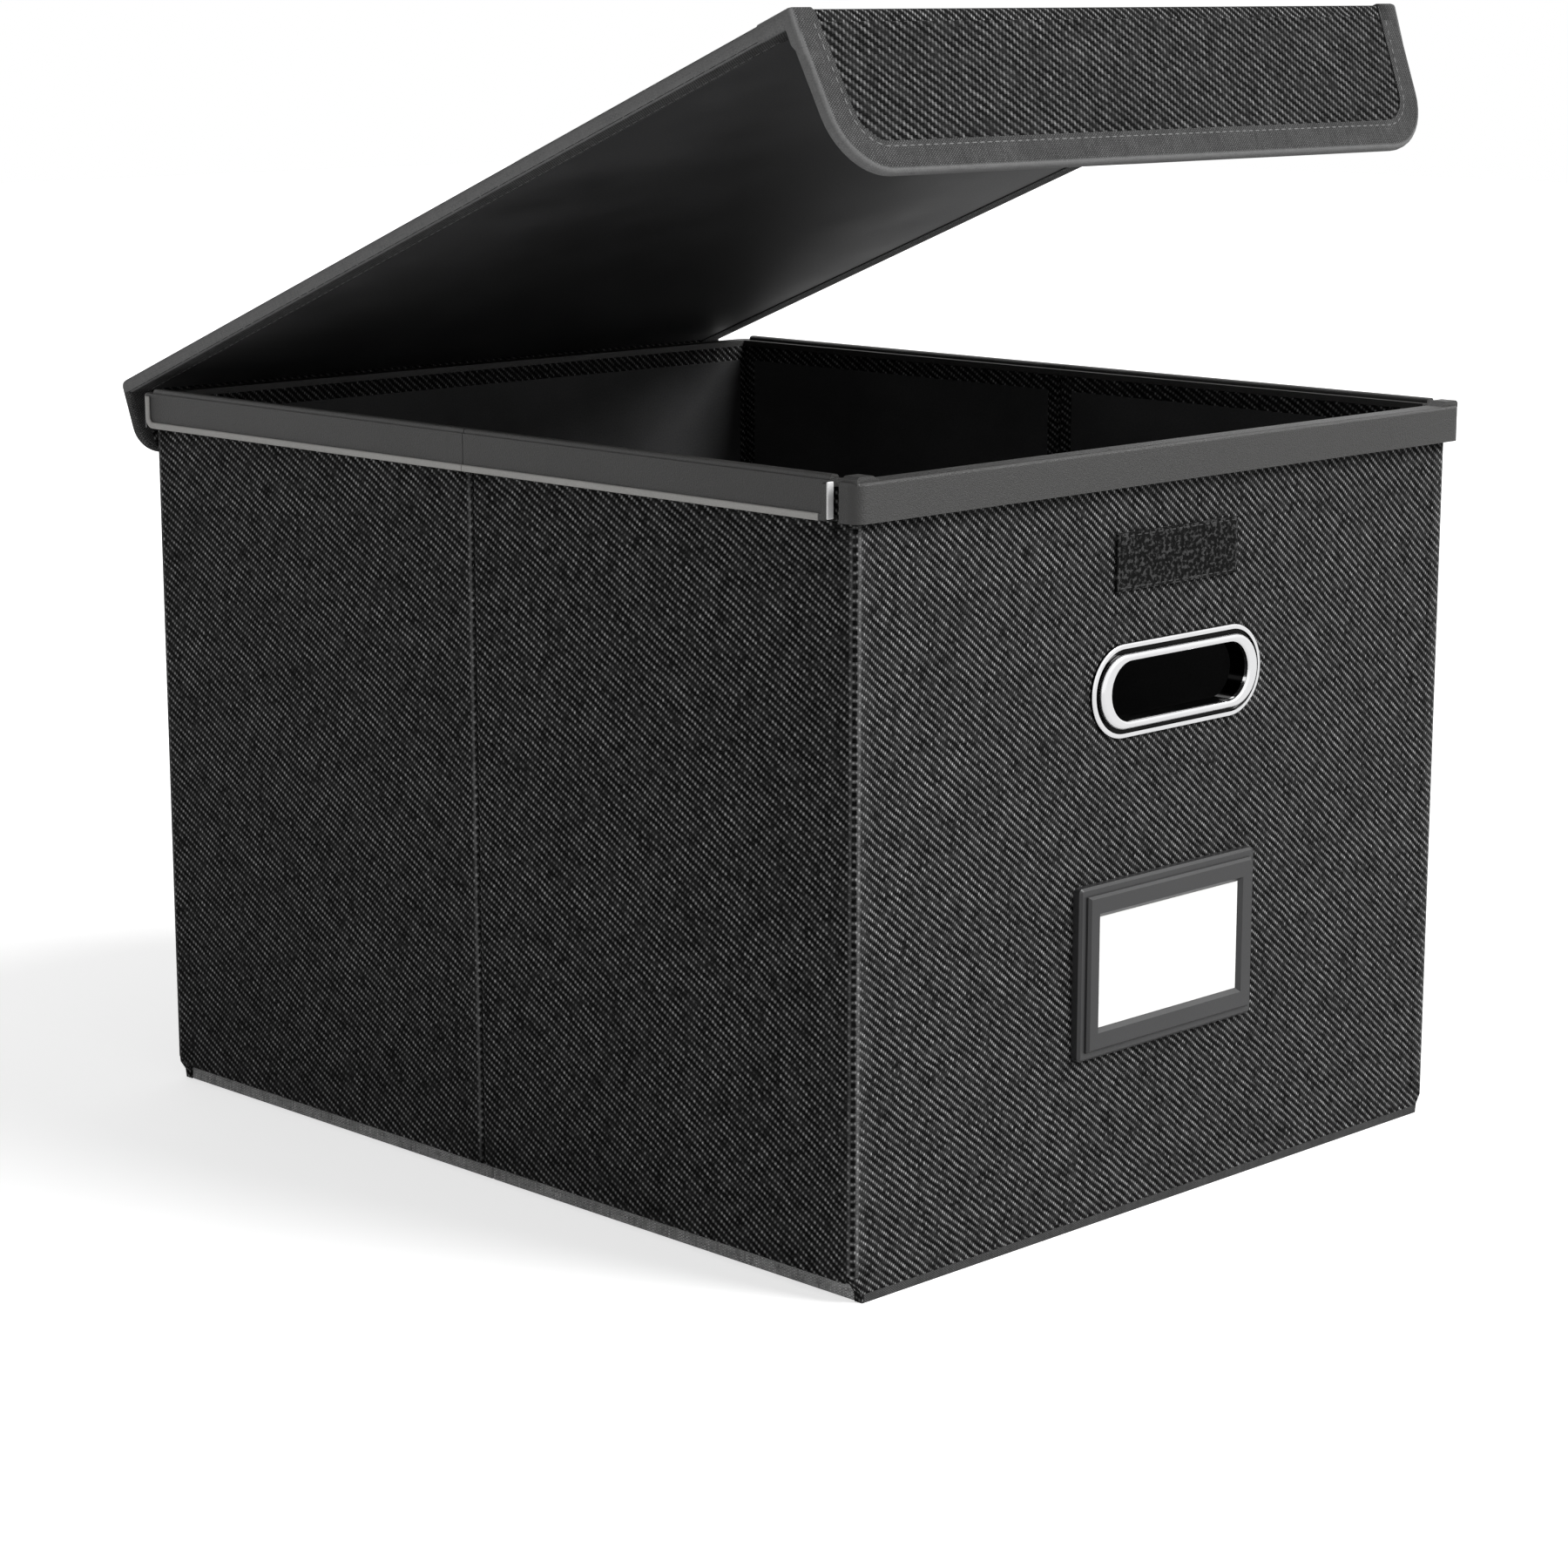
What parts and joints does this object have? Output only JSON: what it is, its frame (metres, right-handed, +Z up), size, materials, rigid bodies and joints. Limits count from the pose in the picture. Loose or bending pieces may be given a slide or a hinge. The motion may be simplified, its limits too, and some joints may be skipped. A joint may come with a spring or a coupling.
{
  "type": "collapsible file storage box",
  "caption": "Collapsible cloth-covered file box with hanging rails, folding side walls and floor, hinged lid with closing flap, ringed hand holes and a label holder.",
  "frame": {"origin": "on the ground under the middle of the whole box, lid part open", "axes": "+Z up, the front wall with the label faces -Y, +X to the right of the front wall seen from behind the box"},
  "size_m": [0.3196, 0.3942, 0.412],
  "materials": {
    "linen": "charcoal linen-look cloth with a fine diagonal weave",
    "board": "grey-brown pressed board",
    "lining": "smooth dark non-woven lining",
    "binding_tape": "grey woven binding tape",
    "rail_plastic": "dark grey satin plastic",
    "bright_metal": "bright plated metal",
    "label_plastic": "dark grey satin plastic",
    "card": "blank white card",
    "hook_and_loop": "black hook-and-loop pile",
    "hinge_cloth": "charcoal hinge cloth"
  },
  "bodies": {
    "back": {"back_board": "board", "back_cover": "linen", "back_lining": "lining", "back_rail": "rail_plastic", "back_grommet": "bright_metal", "back_grommet_washer": "bright_metal", "hinge_lower_leaf": "hinge_cloth"},
    "left_rear": {"left_rear_board": "board", "left_rear_cover": "linen", "left_rear_lining": "lining", "left_rear_rail": "rail_plastic"},
    "left_front": {"left_front_board": "board", "left_front_cover": "linen", "left_front_lining": "lining", "left_front_rail": "rail_plastic"},
    "front": {"front_board": "board", "front_cover": "linen", "front_lining": "lining", "front_rail": "rail_plastic", "front_grommet": "bright_metal", "front_grommet_washer": "bright_metal", "label_frame": "label_plastic", "label_card": "card", "loop_patch": "hook_and_loop"},
    "right_rear": {"right_rear_board": "board", "right_rear_cover": "linen", "right_rear_lining": "lining", "right_rear_rail": "rail_plastic"},
    "right_front": {"right_front_board": "board", "right_front_cover": "linen", "right_front_lining": "lining", "right_front_rail": "rail_plastic"},
    "floor_rear": {"floor_rear_board": "board", "floor_rear_cover": "linen", "floor_rear_lining": "lining", "floor_rear_binding": "binding_tape"},
    "floor_front": {"floor_front_board": "board", "floor_front_cover": "linen", "floor_front_lining": "lining", "floor_front_binding": "binding_tape"},
    "lid": {"lid_board": "board", "lid_cover": "linen", "lid_lining": "lining", "lid_binding": "binding_tape", "skirt_board": "board", "skirt_cover": "linen", "skirt_binding": "binding_tape", "hinge_upper_leaf": "hinge_cloth"},
    "flap": {"flap_board": "board", "flap_cover": "linen", "flap_lining": "lining", "flap_binding": "binding_tape", "hook_patch": "hook_and_loop"}
  },
  "joints": [
    {"name": "fold", "type": "hinge", "parent": "back", "child": "left_rear", "pos_m": [-0.1515, 0.17244, 0.13], "axis": [0, 0, 1], "range_deg": [0, 56]},
    {"name": "left_crease", "type": "hinge", "parent": "left_rear", "child": "left_front", "pos_m": [-0.16, -0.00806, 0.13], "axis": [0, 0, 1], "range_deg": [-112, 0]},
    {"name": "left_front_corner", "type": "hinge", "parent": "left_front", "child": "front", "pos_m": [-0.1515, -0.18856, 0.13], "axis": [0, 0, 1], "range_deg": [0, 56]},
    {"name": "right_rear_corner", "type": "hinge", "parent": "back", "child": "right_rear", "pos_m": [0.1515, 0.17244, 0.13], "axis": [0, 0, 1], "range_deg": [-56, 0]},
    {"name": "right_crease", "type": "hinge", "parent": "right_rear", "child": "right_front", "pos_m": [0.16, -0.00806, 0.13], "axis": [0, 0, 1], "range_deg": [0, 112]},
    {"name": "floor_rear_hinge", "type": "hinge", "parent": "back", "child": "floor_rear", "pos_m": [0, 0.17244, 0], "axis": [1, 0, 0], "range_deg": [0, 56]},
    {"name": "floor_crease", "type": "hinge", "parent": "floor_rear", "child": "floor_front", "pos_m": [0, -0.00806, 0.0085], "axis": [1, 0, 0], "range_deg": [-112, 0]},
    {"name": "lid_hinge", "type": "hinge", "parent": "back", "child": "lid", "pos_m": [0, 0.17744, 0.239], "axis": [-1, 0, 0], "range_deg": [-21.4, 110]},
    {"name": "flap_hinge", "type": "hinge", "parent": "lid", "child": "flap", "pos_m": [0, -0.16236, 0.41147], "axis": [-1, 0, 0], "range_deg": [-5.5, 87.6]}
  ],
  "couplings": [
    {"joint": "left_crease", "follows": "fold", "ratio": -2},
    {"joint": "left_front_corner", "follows": "fold", "ratio": 1},
    {"joint": "right_rear_corner", "follows": "fold", "ratio": -1},
    {"joint": "right_crease", "follows": "fold", "ratio": 2},
    {"joint": "floor_rear_hinge", "follows": "fold", "ratio": 1},
    {"joint": "floor_crease", "follows": "fold", "ratio": -2}
  ]
}
